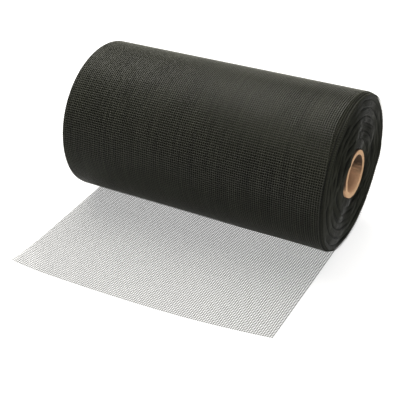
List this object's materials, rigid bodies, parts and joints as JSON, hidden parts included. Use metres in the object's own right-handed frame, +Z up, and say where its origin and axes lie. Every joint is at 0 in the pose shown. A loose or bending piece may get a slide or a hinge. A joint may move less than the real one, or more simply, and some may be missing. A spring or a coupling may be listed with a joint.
{
  "type": "fiberglass insect screen roll",
  "caption": "Roll of woven fiberglass insect screen on a cardboard tube, lying on its side with its free end pulled out flat in front.",
  "frame": {"origin": "on the ground, under the middle of the bounding box of roll and free end", "axes": "+X along the roll's axis, towards the end where the core is seen; the free end runs to -Y; +Z up"},
  "size_m": [0.1904, 0.1752, 0.1065],
  "materials": {
    "screen": "woven glass yarn in a charcoal vinyl coat, satin",
    "core": "spiral-wound kraft board, matte"
  },
  "bodies": {
    "root": {"screen_roll": "screen", "core_tube": "core"}
  },
  "joints": []
}
